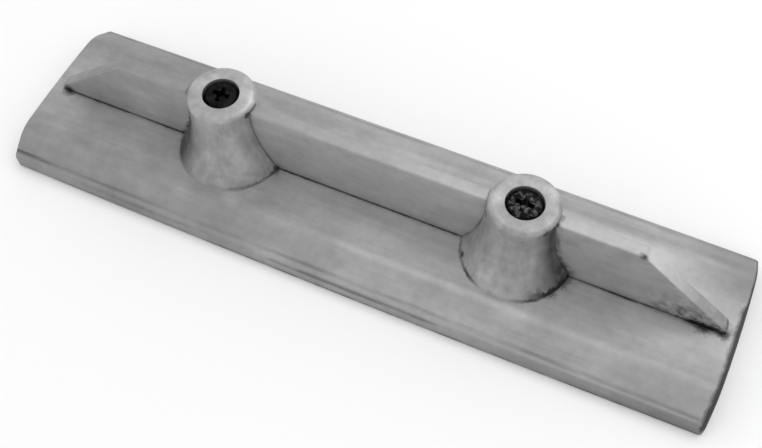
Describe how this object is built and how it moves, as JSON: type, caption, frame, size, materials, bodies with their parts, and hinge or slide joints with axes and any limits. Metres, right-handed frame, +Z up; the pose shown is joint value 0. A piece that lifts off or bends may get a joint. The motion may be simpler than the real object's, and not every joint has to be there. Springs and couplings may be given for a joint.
{
  "type": "magnesium float without handle",
  "caption": "Float for finishing concrete, without its handle: a long crowned magnesium blade with a flat sole, an upright rib along its middle, and conical posts whose flat tops take a handle.",
  "frame": {"origin": "centre of the flat sole", "axes": "+X along the blade, +Y across it, +Z up from the sole to the post tops"},
  "size_m": [0.3048, 0.0794, 0.049],
  "materials": {
    "blade_magnesium": "bare magnesium alloy, dull satin grey with faint lengthwise draw marks",
    "rib_magnesium": "bare magnesium alloy, dull grey with sawn sloped ends",
    "post_magnesium": "cast magnesium alloy, fine cast skin with a machined top face",
    "black_steel": "black oxide steel, satin",
    "plated_steel": "zinc plated steel"
  },
  "bodies": {
    "root": {"float_blade": "blade_magnesium", "rib_middle": "rib_magnesium", "rib_left": "rib_magnesium", "rib_right": "rib_magnesium", "post_left": "post_magnesium", "post_right": "post_magnesium", "post_screw_left": "black_steel", "post_screw_right": "black_steel", "spring_washer_left": "plated_steel", "spring_washer_right": "plated_steel", "thread_insert_left": "plated_steel", "thread_insert_right": "plated_steel"}
  },
  "joints": []
}
